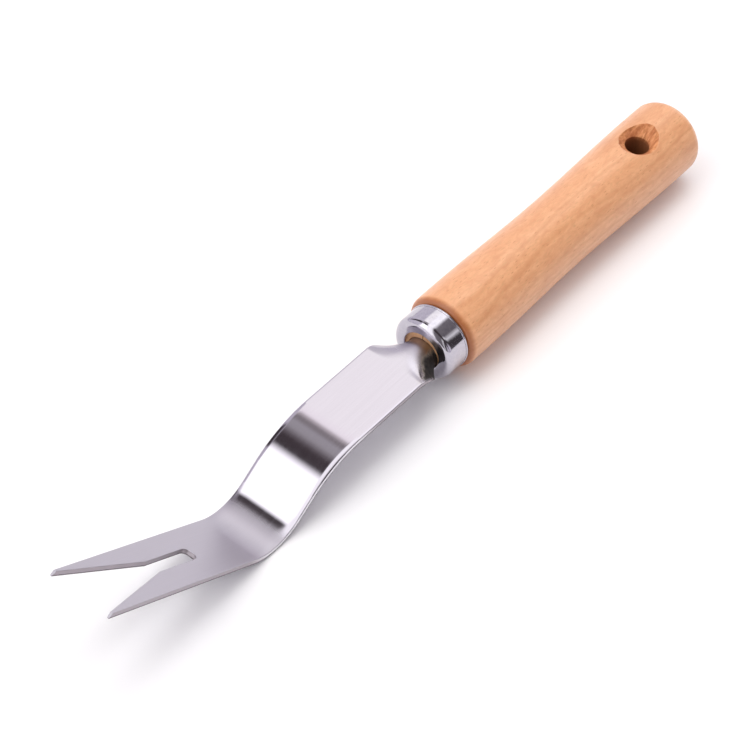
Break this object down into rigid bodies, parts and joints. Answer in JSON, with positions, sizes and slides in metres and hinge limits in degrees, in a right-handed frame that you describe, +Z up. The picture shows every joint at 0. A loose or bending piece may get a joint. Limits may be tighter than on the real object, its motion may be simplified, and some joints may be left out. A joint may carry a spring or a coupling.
{
  "type": "hand weeder",
  "caption": "Hand weeder with a cranked, forked stainless blade, a bright ferrule and a turned beech grip with a hanging hole.",
  "frame": {"origin": "middle of the tool's footprint on the bench it lies on, level with the underside of the heel and of the butt", "axes": "+X along the grip towards the tines, +Y across the blade, +Z up, square to the flat upper plate"},
  "size_m": [0.3299, 0.0308, 0.0439],
  "materials": {
    "polished_stainless": "stamped from sheet and buffed bright",
    "bright_plate": "drawn and bright plated",
    "lacquered_beech": "turned, sanded and clear lacquered",
    "set_adhesive": "set as poured"
  },
  "bodies": {
    "root": {"blade": "polished_stainless", "ferrule": "bright_plate", "grip": "lacquered_beech", "tang_bedding": "set_adhesive"}
  },
  "joints": []
}
